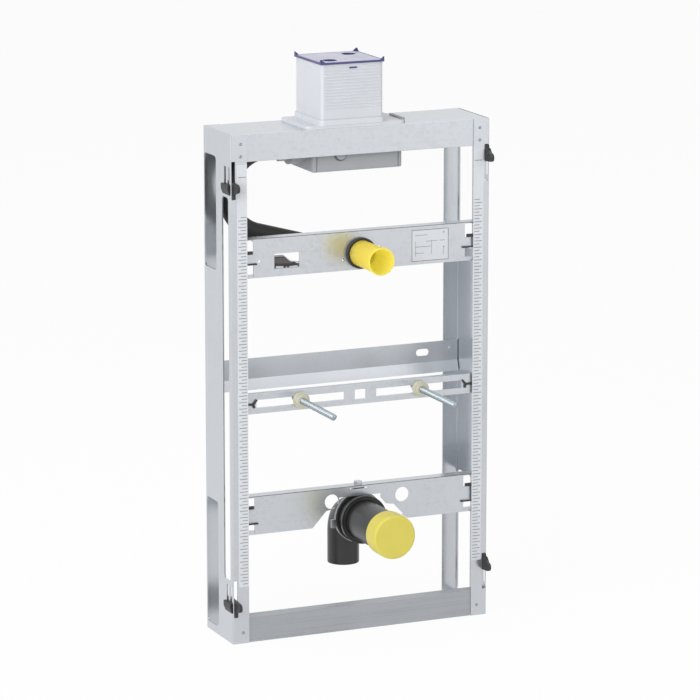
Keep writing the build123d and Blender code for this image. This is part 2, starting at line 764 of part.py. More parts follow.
# Shaft that is cut to length at the finished wall, with cutting ribs on its front and back
with BuildPart() as shaft_box:
    with BuildSketch(Plane.XY.offset(shaft_bottom)) as section:
        with Locations(shaft_middle):
            RectangleRounded(shaft_size, shaft_size, shaft_corner)
            RectangleRounded(shaft_opening, shaft_opening, shaft_corner - shaft_wall, mode=Mode.SUBTRACT)
    extrude(amount=shaft_height)
    rib_offset = (shaft_size + rib_depth) / 2
    for rib in range(1, rib_count + 1):
        with BuildSketch(Plane.XY.offset(shaft_top - rib * rib_pitch)) as rib_section:
            for side in (-1, 1):
                with Locations((shaft_center_x, middle_y + side * rib_offset)):
                    Rectangle(shaft_size - 2 * shaft_corner, rib_depth)
        extrude(amount=rib_height)
save(shaft_box.part, "shaft_box")

# Lid with two finger holes and pointed, upturned horns at the corners
lid_size = shaft_size + 2 * lid_overhang
lid_top = shaft_top + lid_thickness
horn_start = lid_size / 2 - lid_corner
horn_inset = (lid_size - horn_thickness) / 2
with BuildPart() as shaft_lid:
    with BuildSketch(Plane.XY.offset(shaft_top)) as section:
        with Locations(shaft_middle):
            RectangleRounded(lid_size, lid_size, lid_corner)
        with Locations(
            (shaft_center_x - finger_hole_offset, middle_y - finger_hole_offset),
            (shaft_center_x + finger_hole_offset, middle_y + finger_hole_offset),
        ):
            Circle(finger_hole_diameter / 2, mode=Mode.SUBTRACT)
    extrude(amount=lid_thickness)
    for horn_plane, horn_center in ((Plane.XZ, shaft_center_x), (Plane.YZ, middle_y)):
        across = -middle_y if horn_plane == Plane.XZ else shaft_center_x
        for face_side in (-1, 1):
            with BuildSketch(horn_plane.offset(across + face_side * horn_inset)) as horns:
                for side in (-1, 1):
                    with BuildLine():
                        Polyline(
                            (horn_center + side * horn_start, lid_top),
                            (horn_center + side * horn_start, lid_top + horn_height),
                            (horn_center + side * (horn_start - horn_length), lid_top),
                            close=True,
                        )
                    make_face()
            extrude(amount=horn_thickness / 2, both=True)
save(shaft_lid.part, "shaft_lid")

# Retaining bar that holds down the right edge of the base
base_edge = base_center_x + base_width / 2
with BuildPart() as base_retainer:
    with BuildSketch(at_depth(retainer_center - retainer_length / 2)) as section:
        with Locations((base_edge, frame_height + base_thickness + retainer_thickness / 2)):
            Rectangle(retainer_width, retainer_thickness)
        foot_width = retainer_width / 2 - fit
        with Locations((base_edge + fit + foot_width / 2, frame_height + base_thickness / 2)):
            Rectangle(foot_width, base_thickness)
    extrude(amount=-retainer_length)
save(base_retainer.part, "base_retainer")

# Drain bend: a wide socket in the plate's notch, a cone and a narrower pipe that turns down
drain_axis = Axis((0, 0, drain_height), (0, 1, 0))
bend_y = front_y + drain_bend_depth
tail_end = drain_height - tail_drop
with BuildPart() as drain_elbow:
    with BuildSketch(Plane.YZ) as profile:
        with BuildLine():
            Polyline(
                (front_y - socket_reach, drain_height),
                (front_y - socket_reach, drain_height + socket_diameter / 2),
                (front_y + socket_end, drain_height + socket_diameter / 2),
                (front_y + cone_end, drain_height + tail_diameter / 2),
                (front_y + cone_end, drain_height),
                close=True,
            )
        make_face()
    revolve(axis=drain_axis)
    with BuildLine(Plane.YZ) as route:
        FilletPolyline(
            (front_y + pipe_end, drain_height),
            (bend_y, drain_height),
            (bend_y, tail_end),
            radius=drain_bend_radius,
        )
    with BuildSketch(Plane(route.line @ 0, z_dir=route.line % 0)) as section:
        Circle(tail_diameter / 2)
    sweep(path=route.line)
    with BuildSketch(Plane(route.line @ 0, z_dir=route.line % 0)) as bore_section:
        Circle(tail_diameter / 2 - drain_wall)
    sweep(path=route.line, mode=Mode.SUBTRACT)
    with BuildSketch(at_depth(-socket_reach)) as socket_bore:
        with Locations((0, drain_height)):
            Circle(pipe_diameter / 2 + fit)
    extrude(amount=-(socket_reach + socket_floor), mode=Mode.SUBTRACT)
save(drain_elbow.part, "drain_elbow")

# Straight pipe pushed into the socket
pipe_start = cap_reach - cap_wall - fit
with BuildPart() as drain_pipe:
    with BuildSketch(at_depth(-pipe_start)) as section:
        with Locations((0, drain_height)):
            Circle(pipe_diameter / 2)
            Circle(pipe_diameter / 2 - drain_wall, mode=Mode.SUBTRACT)
    extrude(amount=-(pipe_start + pipe_end))
save(drain_pipe.part, "drain_pipe")

# Bead ring around the mouth of the socket
with BuildPart() as drain_collar:
    with BuildSketch(at_depth(-socket_reach)) as section:
        with Locations((0, drain_height)):
            Circle(drain_collar_diameter / 2)
            Circle(socket_diameter / 2 + fit, mode=Mode.SUBTRACT)
    extrude(amount=-drain_collar_height)
save(drain_collar.part, "drain_collar")

# Protective cap on the front end of the drain pipe
with BuildPart() as drain_cap:
    with BuildSketch(at_depth(-cap_reach)) as section:
        with Locations((0, drain_height)):
            Circle(cap_diameter / 2)
    extrude(amount=-cap_length)
    fillet(drain_cap.faces().sort_by(Axis.Y)[0].edges(), radius=cap_edge)
    with BuildSketch(at_depth(-cap_reach + cap_wall)) as bore:
        with Locations((0, drain_height)):
            Circle(pipe_diameter / 2 + fit)
    extrude(amount=-cap_length, mode=Mode.SUBTRACT)
save(drain_cap.part, "drain_cap")

# Rubber lining between the socket and the pipe clamp
lining_inner = socket_diameter / 2 + fit
clamp_inner = lining_inner + lining_thickness + fit
clamp_outer = clamp_inner + clamp_thickness
with BuildPart() as clamp_lining:
    with BuildSketch(at_depth(plate_back + clamp_gap)) as section:
        with Locations((0, drain_height)):
            Circle(lining_inner + lining_thickness)
            Circle(lining_inner, mode=Mode.SUBTRACT)
    extrude(amount=-clamp_width)
save(clamp_lining.part, "clamp_lining")

# Pipe clamp behind the drain plate, hung from the plate's top flange by a bolt
clamp_block_top = drain_plate_top - sheet - fit
ear_x = -(clamp_inner + clamp_ear_reach / 2)
ear_z = drain_height - clamp_ear_drop
with BuildPart() as pipe_clamp:
    with BuildSketch(at_depth(plate_back + clamp_gap)) as section:
        with Locations((0, (drain_height + clamp_block_top) / 2)):
            Rectangle(clamp_block_width, clamp_block_top - drain_height)
        with Locations((0, drain_height)):
            Circle(clamp_inner, mode=Mode.SUBTRACT)
    extrude(amount=-clamp_width)
    with BuildSketch(at_depth(plate_back + clamp_gap)) as band:
        with Locations((ear_x, ear_z)):
            Rectangle(clamp_ear_reach, clamp_ear_height)
        with Locations((0, drain_height)):
            Circle(clamp_outer)
            Circle(clamp_inner, mode=Mode.SUBTRACT)
    extrude(amount=-clamp_band_width)
    with BuildSketch(Plane.XY.offset(clamp_block_top)) as bolt_hole:
        with Locations((0, front_y + clamp_middle)):
            Circle(bolt_diameter / 2 + fit)
    extrude(amount=-(clamp_block_top - drain_height - clamp_outer), mode=Mode.SUBTRACT)
save(pipe_clamp.part, "pipe_clamp")

with BuildPart() as clamp_bolt:
    with BuildSketch(Plane.XY.offset(drain_plate_top)) as head:
        with Locations((0, front_y + clamp_middle)):
            RegularPolygon(bolt_head_width / 2, 6, major_radius=False)
    extrude(amount=bolt_head_height)
    bolt_tip = drain_height + clamp_outer + fit
    with BuildSketch(Plane.XY.offset(bolt_tip)) as shank:
        with Locations((0, front_y + clamp_middle)):
            Circle(bolt_diameter / 2)
    extrude(amount=drain_plate_top - bolt_tip)
save(clamp_bolt.part, "clamp_bolt")
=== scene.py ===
# %% [markdown]
# # A urinal installation frame
# This lesson dresses a finished CAD model: a folded steel frame that stands inside a plasterboard
# wall and carries the flush valve, the water inlet, two threaded studs and the waste pipe.
# The solids come in already placed and to size, in metres, with the front of the frame along -Y.
# What is left for Blender is finish: zinc, rubber and plastics, printed scales, rivets and threads.

from math import cos, radians, sin, tau

import bpy
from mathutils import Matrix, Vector


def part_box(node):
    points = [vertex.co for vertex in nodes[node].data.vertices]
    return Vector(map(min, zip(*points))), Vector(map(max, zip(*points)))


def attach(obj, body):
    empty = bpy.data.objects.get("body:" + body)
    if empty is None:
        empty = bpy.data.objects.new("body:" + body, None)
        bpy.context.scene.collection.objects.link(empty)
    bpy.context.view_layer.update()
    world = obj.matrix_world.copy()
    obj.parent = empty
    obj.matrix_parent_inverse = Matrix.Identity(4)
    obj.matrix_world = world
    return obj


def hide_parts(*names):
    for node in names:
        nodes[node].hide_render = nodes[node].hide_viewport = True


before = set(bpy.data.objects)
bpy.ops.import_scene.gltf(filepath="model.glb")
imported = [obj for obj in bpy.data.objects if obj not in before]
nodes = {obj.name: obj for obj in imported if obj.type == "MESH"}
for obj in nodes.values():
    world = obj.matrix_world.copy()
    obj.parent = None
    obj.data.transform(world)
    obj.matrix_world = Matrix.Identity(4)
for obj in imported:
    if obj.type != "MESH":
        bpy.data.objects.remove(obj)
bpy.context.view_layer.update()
MM = 0.001

# %% [markdown]
# ## Writing shaders as sums
# A material is a graph of nodes, and wiring it by hand hides the idea behind it. A small class can
# stand for "a number that changes over the surface": adding or multiplying two of them adds the
# Math node that does it, so that the recipe reads like the formula.


# %% A value on a surface
class Field:
    """One output socket whose arithmetic adds Math nodes to its graph."""

    def __init__(self, tree, socket):
        self.tree = tree
        self.socket = socket

    def math(self, operation, first, second):
        node = self.tree.nodes.new("ShaderNodeMath")
        node.operation = operation
        for slot, value in zip(node.inputs, (first, second)):
            if isinstance(value, Field):
                self.tree.links.new(value.socket, slot)
            else:
                slot.default_value = value
        return Field(self.tree, node.outputs[0])

    def __add__(self, other):
        return self.math("ADD", self, other)

    def __radd__(self, other):
        return self.math("ADD", other, self)

    def __sub__(self, other):
        return self.math("SUBTRACT", self, other)

    def __rsub__(self, other):
        return self.math("SUBTRACT", other, self)

    def __mul__(self, other):
        return self.math("MULTIPLY", self, other)

    def __rmul__(self, other):
        return self.math("MULTIPLY", other, self)

    def __lt__(self, other):
        return self.math("LESS_THAN", self, other)

    def __gt__(self, other):
        return self.math("GREATER_THAN", self, other)


print("fields can be added, subtracted, multiplied and compared")

# %% [markdown]
# ## One way to add a node
# Noise, colour mixes and bumps are nodes of their own. Each could be set up line by line; one method
# that takes the node's type, its settings and the values or fields for its inputs keeps every recipe
# short. Materials and the world's light are both graphs, so both share it.


# %% A graph of nodes
class Graph:
    """A node tree, with one method that adds any node to it."""

    def __init__(self, tree):
        self.tree = tree

    def node(self, kind, settings=None, inputs=None, output=0):
        node = self.tree.nodes.new("ShaderNode" + kind)
        for name, value in (settings or {}).items():
            setattr(node, name, value)
        for name, value in (inputs or {}).items():
            if isinstance(value, Field):
                self.tree.links.new(value.socket, node.inputs[name])
            else:
                node.inputs[name].default_value = value
        return Field(self.tree, node.outputs[output])

    def seen(self):
        """1 where the camera, a mirror or a glass looks, 0 where a surface only gathers light."""
        camera = self.node("LightPath", output="Is Camera Ray")
        mirror = self.node("LightPath", output="Is Glossy Ray")
        glass = self.node("LightPath", output="Is Transmission Ray")
        return camera + mirror + glass


print("graphs take any node")

# %% [markdown]
# ## A finish is a Principled shader plus a recipe
# Every material here has the same skeleton. Numbers that are the same all over go straight on the
# shader's sockets; whatever varies is made from nodes and fed to a socket afterwards. Patterns are
# placed by the position on the object, in metres, so that no piece needs a UV map.


# %% The skeleton of a finish
def socket_name(words):
    """Name of a shader socket for a keyword: base_color gives Base Color."""
    return words.replace("_", " ").title()


class Finish(Graph):
    """A material with one Principled shader and helpers that add nodes to it."""

    def __init__(self, name, **constants):
        self.material = bpy.data.materials.new(name)
        self.material.use_nodes = True
        super().__init__(self.material.node_tree)
        self.shader = self.tree.nodes["Principled BSDF"]
        for words, value in constants.items():
            self.shader.inputs[socket_name(words)].default_value = value

    def place(self, scale=(1, 1, 1)):
        """Position on the object, stretched by scale."""
        position = self.node("TexCoord", output="Object")
        return self.node("Mapping", inputs={"Vector": position, "Scale": scale})

    def axis(self, letter):
        """One coordinate of the position on the object, in metres."""
        position = self.node("TexCoord", output="Object")
        return self.node("SeparateXYZ", inputs={"Vector": position}, output=letter)

    def noise(self, scale, detail=2.0):
        """Soft random field between 0 and 1, with its own grain along X, Y and Z."""
        inputs = {"Vector": self.place(scale), "Scale": 1.0, "Detail": detail}
        return self.node("TexNoise", inputs=inputs)

    def cells(self, scale):
        """Random value between 0 and 1 for each small crystal of the surface."""
        inputs = {"Vector": self.place(), "Scale": scale}
        color = self.node("TexVoronoi", inputs=inputs, output="Color")
        return self.node("SeparateColor", inputs={"Color": color})

    def blend(self, share, first, second):
        """Colour that goes from first to second as share goes from 0 to 1."""
        settings = {"data_type": "RGBA"}
        inputs = {0: share, 6: first, 7: second}
        return self.node("Mix", settings, inputs, output=2)

    def bump(self, height, strength, distance):
        """Normal of a surface that rises and falls with height."""
        inputs = {"Height": height, "Strength": strength, "Distance": distance}
        return self.node("Bump", inputs=inputs)

    def mix(self, share, other):
        """Lets another shader take a share of the surface."""
        own = Field(self.tree, self.shader.outputs[0])
        mixed = self.node("MixShader", inputs={0: share, 1: own, 2: other})
        output = self.tree.nodes["Material Output"]
        self.tree.links.new(mixed.socket, output.inputs["Surface"])

    def feed(self, **fields):
        """Links fields to the shader's sockets and gives back the material."""
        for words, field in fields.items():
            self.tree.links.new(field.socket, self.shader.inputs[socket_name(words)])
        return self.material


def grey(level, tint=(1.0, 1.0, 1.0)):
    """Linear colour of one brightness with a slight tint."""
    return (level * tint[0], level * tint[1], level * tint[2], 1.0)


print("finish helpers ready")

# %% [markdown]
# ## Dark upper edges
# A thin dark line runs along the upper edge of the two wide plates. What it is doesn't show, so the
# finish is only darker there. It could be a strip of its own; as a mask by height and depth it stays
# part of the sheet's finish.

# %% Dark upper edges of the two wide plates
EDGE_DEPTH, EDGE_RISE = 2.0 * MM, 0.7 * MM
plate_low, plate_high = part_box("inlet_plate")
plate_tops = (plate_high.z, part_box("drain_plate")[1].z)


def top_edge_lines(finish):
    """1 along the upper edges of the two wide plates, 0 elsewhere."""
    near = finish.axis("Y") < plate_low.y + EDGE_DEPTH
    lines = 0.0
    for top in plate_tops:
        rise = finish.axis("Z") - top
        lines = lines + (rise * rise < EDGE_RISE * EDGE_RISE)
    return near * lines


print("bends at", [round(top / MM) for top in plate_tops], "mm")

# %% [markdown]
# ## Galvanised sheet
# The posts and plates are folded from zinc-coated steel. New zinc is a cool grey with faint streaks
# in the rolling direction, a cloudy bloom and small crystals. It is glossy enough to mirror what
# hangs beside it: the dark patch in the left windows is taken for the hose. An image of scratched
# metal would repeat and would not follow the folds; two noises, one stretched far along the sheet,
# and a pattern of cells give all of it. The rear rail is less metallic, because its leaning band
# would otherwise mirror a lamp, and the bottom rail is darker and more streaked.

# %% Galvanised steel
COOL = (0.955, 1.0, 1.06)
GRAIN_ACROSS, GRAIN_ALONG = 520.0, 5.0
BLOOM_GRAIN, CRYSTAL_GRAIN = (14.0, 14.0, 14.0), 210.0
BASE_TONE, BLOOM_TONE, EDGE_DARK = 0.92, 0.16, 0.75
BLOOM_ROUGHNESS = 0.2
SHEET_RELIEF, RELIEF_DEPTH = 0.06, 0.3 * MM
MIDDLE = 0.5


def galvanised(name, level, along, metallic, roughness, spangle, streak=0.14, dark_edge=False):
    """Zinc-coated sheet whose rolling streaks run along the axis with that index."""
    finish = Finish(name, metallic=metallic)
    grain = [GRAIN_ACROSS] * 3
    grain[along] = GRAIN_ALONG
    streaks = finish.noise(tuple(grain), detail=3.0)
    bloom = finish.noise(BLOOM_GRAIN, detail=4.0)
    crystals = finish.cells(CRYSTAL_GRAIN)
    tone = BASE_TONE + streak * (streaks - MIDDLE) + BLOOM_TONE * bloom
    tone = tone + spangle * (crystals - MIDDLE)
    # The sheet is darker along a thin line at the plates' upper edge.
    if dark_edge:
        tone = tone * (1.0 - EDGE_DARK * top_edge_lines(finish))
    color = finish.blend(tone, grey(0.0), grey(level, COOL))
    rough = roughness + BLOOM_ROUGHNESS * bloom
    normal = finish.bump(streaks + bloom, SHEET_RELIEF, RELIEF_DEPTH)
    return finish.feed(base_color=color, roughness=rough, normal=normal)


X_AXIS, Z_AXIS = 0, 2
post_steel = galvanised(
    "post_steel", 0.58, Z_AXIS, metallic=0.8, roughness=0.12, spangle=0.04
)
cross_steel = galvanised(
    "cross_steel", 0.585, X_AXIS, metallic=0.8, roughness=0.2, spangle=0.12, dark_edge=True
)
rear_steel = galvanised(
    "rear_steel", 0.58, X_AXIS, metallic=0.7, roughness=0.22, spangle=0.06
)
sill_steel = galvanised(
    "sill_steel", 0.4, X_AXIS, metallic=0.55, roughness=0.3, spangle=0.04, streak=0.6
)
print("galvanised:", post_steel.name, cross_steel.name, rear_steel.name, sill_steel.name)

# %% [markdown]
# ## Bright zinc plating
# Studs, nuts, clamp and rivets are electroplated: shinier than the sheet and a little bluish. Plain
# metal of one colour would look like chrome, so a fine noise clouds colour, gloss and surface.

# %% Plated steel
BLUISH = (0.86, 0.98, 1.04)
CLOUD_GRAIN = (180.0, 180.0, 180.0)
CLOUD_DARK, CLOUD_LIGHT, CLOUD_ROUGHNESS, CLOUD_RELIEF = 0.86, 1.12, 0.12, 0.08


def plated(name, level, roughness, tint=COOL):
    """Electroplated steel with a fine cloudy sheen."""
    finish = Finish(name, metallic=0.85)
    cloud = finish.noise(CLOUD_GRAIN, detail=3.0)
    color = finish.blend(cloud, grey(level * CLOUD_DARK, tint), grey(level * CLOUD_LIGHT, tint))
    rough = roughness + CLOUD_ROUGHNESS * cloud
    normal = finish.bump(cloud, CLOUD_RELIEF, RELIEF_DEPTH)
    return finish.feed(base_color=color, roughness=rough, normal=normal)


plated_steel = plated("plated_steel", 0.55, 0.24)
stud_steel = plated("stud_steel", 0.4, 0.2, BLUISH)
# The clamp's plating is set darker than the rest: painted shade, as the ring sits behind the drain
# plate.
clamp_steel_painted_shade = plated("clamp_steel_painted_shade", 0.3, 0.26)
rivet_steel = plated("rivet_steel", 0.34, 0.36)
print("plated:", plated_steel.name, stud_steel.name, clamp_steel_painted_shade.name, rivet_steel.name)

# %% [markdown]
# ## Moulded plastics and rubber
# Moulded pieces are even in colour, yet never flat: the tool leaves a fine grain, and the skin is
# a little glossier here and there. One recipe with colour, gloss and grain serves all of them.
# The inlet plug looks thin enough for light to pass, so a translucent shader takes a share of its
# surface. Glass would be clear, and it would need many more samples to come out smooth.

# %% A recipe for plastics
DRIFT_GRAIN, DRIFT_ROUGHNESS = (30.0, 30.0, 30.0), 0.12
PORE_DEPTH = 0.2 * MM


def moulded(name, dark, light, roughness, grain=1400.0, relief=0.1, through=0.0, **constants):
    """Plastic that drifts between two shades, with the grain of its mould.

    The share called through lets light pass to the other side.
    """
    finish = Finish(name, **constants)
    if through:
        finish.mix(through, finish.node("BsdfTranslucent", inputs={"Color": light}))
    drift = finish.noise(DRIFT_GRAIN, detail=3.0)
    pores = finish.noise((grain, grain, grain), detail=1.0)
    color = finish.blend(drift, dark, light)
    rough = roughness + DRIFT_ROUGHNESS * drift
    normal = finish.bump(pores, relief, PORE_DEPTH)
    return finish.feed(base_color=color, roughness=rough, normal=normal)


print("one recipe for plastics and rubber")

# %% [markdown]
# ## The plastics of this frame
# The waste pipe and the hose are black, the pipe glossier than the hose. Plug and cap are yellow,
# as covers that come off later often are; a faint subsurface share keeps the cap from looking
# painted. The valve's plastics are white and greys. One material for all the black or all the
# yellow pieces would be shorter, but they differ in gloss.

# %% Plastics
black_plastic = moulded("black_plastic", grey(0.014), grey(0.026), 0.42)
hose_rubber = moulded("hose_rubber", grey(0.013), grey(0.022), 0.58, grain=900.0, relief=0.2)
drain_plastic = moulded("drain_plastic", grey(0.012), grey(0.02), 0.24)
plug_yellow = moulded(
    "plug_yellow", (0.92, 0.81, 0.21, 1), (0.97, 0.9, 0.3, 1), 0.3, through=0.7
)
cap_yellow = moulded(
    "cap_yellow", (0.67, 0.58, 0.09, 1), (0.73, 0.64, 0.12, 1), 0.4,
    subsurface_weight=0.3, subsurface_scale=4 * MM, subsurface_radius=(1.0, 0.9, 0.4),
)
shaft_white = moulded("shaft_white", (0.6, 0.62, 0.66, 1), (0.66, 0.68, 0.72, 1), 0.42)
housing_grey = moulded("housing_grey", grey(0.34, COOL), grey(0.39, COOL), 0.45)
insert_pale = moulded("insert_pale", grey(0.6, COOL), grey(0.66, COOL), 0.45)
latch_grey = moulded("latch_grey", (0.05, 0.045, 0.045, 1), (0.1, 0.09, 0.09, 1), 0.4)
bushing_cream = moulded("bushing_cream", (0.54, 0.53, 0.42, 1), (0.61, 0.6, 0.48, 1), 0.45)
retainer_grey = moulded("retainer_grey", grey(0.3), grey(0.38), 0.4)
plastics = (
    black_plastic, hose_rubber, drain_plastic, plug_yellow, cap_yellow, shaft_white,
    housing_grey, insert_pale, latch_grey, bushing_cream, retainer_grey,
)
print("plastics:", ", ".join(plastic.name for plastic in plastics))

# %% [markdown]
# ## The lid
# The lid of the shaft is dark blue round its rim and pale on top. Both belong to one piece, so the
# colour changes by place: a square mask in the object's own coordinates marks the pale panel.

# %% Lid finish
lid_low, lid_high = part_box("shaft_lid")
lid_middle = (lid_low + lid_high) / 2
lid_half = (lid_high.x - lid_low.x) / 2
box_low, box_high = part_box("shaft_box")
RIM, PANEL_RISE = 3.5 * MM, 2.9 * MM
RIM_BLUE = (0.06, 0.06, 0.19, 1)
PANEL_DARK, PANEL_LIGHT = (0.32, 0.32, 0.48, 1), (0.68, 0.69, 0.77, 1)
LID_GRAIN, LID_GLOSS, LID_GLOSS_DRIFT = (26.0, 26.0, 26.0), 0.3, 0.15


def lid_finish():
    finish = Finish("lid_plastic")
    across = finish.axis("X") - lid_middle.x
    deep = finish.axis("Y") - lid_middle.y
    inside = lid_half - RIM
    panel = (across * across < inside * inside) * (deep * deep < inside * inside)
    panel = panel * (finish.axis("Z") > box_high.z + PANEL_RISE)
    cloud = finish.noise(LID_GRAIN)
    pale = finish.blend(cloud, PANEL_DARK, PANEL_LIGHT)
    color = finish.blend(panel, RIM_BLUE, pale)
    return finish.feed(base_color=color, roughness=LID_GLOSS + LID_GLOSS_DRIFT * cloud)


lid_plastic = lid_finish()
print("lid finish over", round(2 * lid_half / MM, 1), "mm")

# %% [markdown]
# ## A finish for each CAD node
# Each solid keeps its shape and only swaps its material. Names are listed under their finish, which
# reads better than a material for each of forty nodes; what isn't listed is black plastic, as the
# levers and clips are.

# %% Who wears what
dress = {
    post_steel: ["left_side_panel", "right_side_panel"],
    cross_steel: ["top_rail", "inlet_plate", "stud_rail", "drain_plate"],
    rear_steel: ["rear_rail"],
    sill_steel: ["bottom_rail"],
    plated_steel: ["left_stud_nut", "right_stud_nut", "clamp_bolt"],
    stud_steel: ["left_stud", "right_stud"],
    clamp_steel_painted_shade: ["pipe_clamp"],
    hose_rubber: ["supply_hose", "clamp_lining"],
    drain_plastic: ["drain_pipe", "drain_elbow", "drain_collar"],
    plug_yellow: ["inlet_plug"],
    cap_yellow: ["drain_cap"],
    shaft_white: ["shaft_base", "shaft_box"],
    lid_plastic: ["shaft_lid"],
    housing_grey: ["valve_housing", "valve_hose_nut"],
    retainer_grey: ["base_retainer"],
    insert_pale: ["plate_insert"],
    bushing_cream: ["left_stud_bushing", "right_stud_bushing"],
}
chosen = {name: material for material, names in dress.items() for name in names}
for name, solid in nodes.items():
    solid.data.materials.clear()
    solid.data.materials.append(chosen.get(name, black_plastic))
print(len(chosen), "nodes with their own finish, the rest black")

# %% [markdown]
# ## Soft edges
# Sharp CAD edges catch no light, so a small bevel softens them, and a larger one rounds the moulded
# levers. A bevel needs clean faces to work on: the weld joins doubled corners, and the planar
# decimation joins the triangles of one flat face. These are modifiers, so the mesh below stays.

# %% Bevels
BEVEL, LEVER_BEVEL, BEVEL_STEPS = 0.5 * MM, 2.0 * MM, 3
SAME_CORNER, SAME_FACE, SHARP_EDGE = 0.01 * MM, radians(0.5), radians(40)


def soften(solid, width):
    """Rounds a solid's sharp edges without touching its mesh."""
    weld = solid.modifiers.new("weld", "WELD")
    weld.merge_threshold = SAME_CORNER
    flat = solid.modifiers.new("flat", "DECIMATE")
    flat.decimate_type = "DISSOLVE"
    flat.angle_limit = SAME_FACE
    bevel = solid.modifiers.new("bevel", "BEVEL")
    bevel.width = width
    bevel.segments = BEVEL_STEPS
    bevel.limit_method = "ANGLE"
    bevel.angle_limit = SHARP_EDGE
    shade = solid.modifiers.new("soften", "WEIGHTED_NORMAL")
    shade.keep_sharp = True


for name, solid in nodes.items():
    soften(solid, LEVER_BEVEL if name.endswith("_lever") else BEVEL)
print(len(nodes), "nodes with soft edges")

# %% [markdown]
# ## Making small pieces
# The pieces below are simple: boxes, slabs and turned discs. They are written as lists of corners
# and faces, many to a mesh, because a scale with a hundred marks should be one object and not a
# hundred.

# %% Mesh helpers
BOX_FACES = ((0, 1, 3, 2), (4, 6, 7, 5), (0, 4, 5, 1), (2, 3, 7, 6), (0, 2, 6, 4), (1, 5, 7, 3))


class Mesh:
    """Collects corners and faces for one piece."""

    def __init__(self):
        self.corners = []
        self.faces = []

    def box(self, low, high):
        first = len(self.corners)
        for x in (low[0], high[0]):
            for y in (low[1], high[1]):
                for z in (low[2], high[2]):
                    self.corners.append((x, y, z))
        for face in BOX_FACES:
            self.faces.append([first + corner for corner in face])

    def slab(self, outline, front, back):
        """Flat piece between two depths, with an outline of (x, z) points."""
        first = len(self.corners)
        count = len(outline)
        for y in (front, back):
            self.corners += [(x, y, z) for x, z in outline]
        self.faces.append([first + corner for corner in range(count)])
        self.faces.append([first + count + corner for corner in reversed(range(count))])
        for corner in range(count):
            here, there = first + corner, first + (corner + 1) % count
            self.faces.append([there, here, here + count, there + count])

    def turned(self, center, rings, steps=20):
        """Dome or disc turned about Y: rings of (radius, y), closed at both ends."""
        first = len(self.corners)
        for radius, y in rings:
            for step in range(steps):
                angle = tau * step / steps
                x, z = center[0] + radius * cos(angle), center[1] + radius * sin(angle)
                self.corners.append((x, y, z))
        for ring in range(len(rings) - 1):
            for step in range(steps):
                here = first + ring * steps + step
                there = first + ring * steps + (step + 1) % steps
                self.faces.append([here, there, there + steps, here + steps])
        last = first + (len(rings) - 1) * steps
        self.faces.append([last + step for step in range(steps)])
        self.faces.append([first + step for step in reversed(range(steps))])


def piece(name, mesh, material, body="frame", smooth=False):
    """Turns collected corners and faces into a piece that rides on a body."""
    data = bpy.data.meshes.new(name)
    data.from_pydata(mesh.corners, [], mesh.faces)
    data.update()
    for polygon in data.polygons:
        polygon.use_smooth = smooth
    data.materials.append(material)
    made = bpy.data.objects.new(name, data)
    bpy.context.scene.collection.objects.link(made)
    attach(made, body)
    print(name, len(data.polygons), "faces")
    return made


print("boxes, slabs and turned pieces can be collected")

# %% [markdown]
# ## Printed scales on the posts
# Each post carries a white adhesive scale along its inner edge, so that the fitter can set the
# plates to the right height. The strip is a film 0.2 mm thick, and its marks stand just in front.
# A shader could draw the marks too, but as small bars they stay crisp in any close view.

# %% Scale strips
label_white = moulded("label_white", grey(0.67, COOL), grey(0.73, COOL), 0.5, relief=0.03)
scale_ink = moulded("scale_ink", grey(0.2), grey(0.27), 0.6, relief=0.03)
FILM, INK = 0.2 * MM, 0.05 * MM
STRIP_WIDTH = 16.6 * MM
STRIP_BOTTOM, STRIP_TOP = 90 * MM, 745 * MM
FIRST_MARK, LAST_MARK, MARK_STEP = 94 * MM, 667 * MM, 5 * MM
MARK_HEIGHT, MARK_INSET = 1.1 * MM, 1.5 * MM
LONG_MARK, SHORT_MARK = 13 * MM, 9 * MM
TOP_MARK = 725 * MM
SIDES = ((-1, "left"), (1, "right"))
flange_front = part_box("left_side_panel")[0].y
flange_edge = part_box("right_side_panel")[0].x
strip_front = flange_front - FILM
marks_along = []
for step in range(int((LAST_MARK - FIRST_MARK) / MARK_STEP) + 1):
    marks_along.append((FIRST_MARK + MARK_STEP * step, LONG_MARK if step % 2 else SHORT_MARK))
marks_along.append((TOP_MARK, LONG_MARK))
for side, side_name in SIDES:
    film, marks = Mesh(), Mesh()
    low_x, high_x = sorted((side * flange_edge, side * (flange_edge + STRIP_WIDTH)))
    film.box((low_x, strip_front, STRIP_BOTTOM), (high_x, flange_front, STRIP_TOP))
    end = side * (flange_edge + MARK_INSET)
    for height, length in marks_along:
        low_x, high_x = sorted((end, end + side * length))
        marks.box((low_x, strip_front - INK, height), (high_x, strip_front, height + MARK_HEIGHT))
    piece(f"{side_name}_scale_film", film, label_white)
    piece(f"{side_name}_scale_marks", marks, scale_ink)

# %% [markdown]
# ## Rivets
# Rails and posts are joined by small blind rivets. A rivet head is a low dome with a dimple where
# the mandrel broke off: a ring of profile points turned about the rivet's axis.

# %% Rivet heads
RIVET_RADIUS, RIVET_HEIGHT = 2.6 * MM, 0.9 * MM
RIVET_DOME = ((1.0, 0.0), (0.92, 0.6), (0.6, 1.0), (0.42, 1.0), (0.36, 0.3))
RIVET_X = 198 * MM
FRONT_RIVETS = (776 * MM, 757 * MM, 17 * MM)
REAR_RIVET_DROP, SHEET = 12 * MM, 2 * MM


def rivet(mesh, center, face_y):
    """Rivet head on a face at face_y that looks to the front."""
    rings = []
    for width, rise in RIVET_DOME:
        rings.append((RIVET_RADIUS * width, face_y - RIVET_HEIGHT * rise))
    mesh.turned(center, rings)


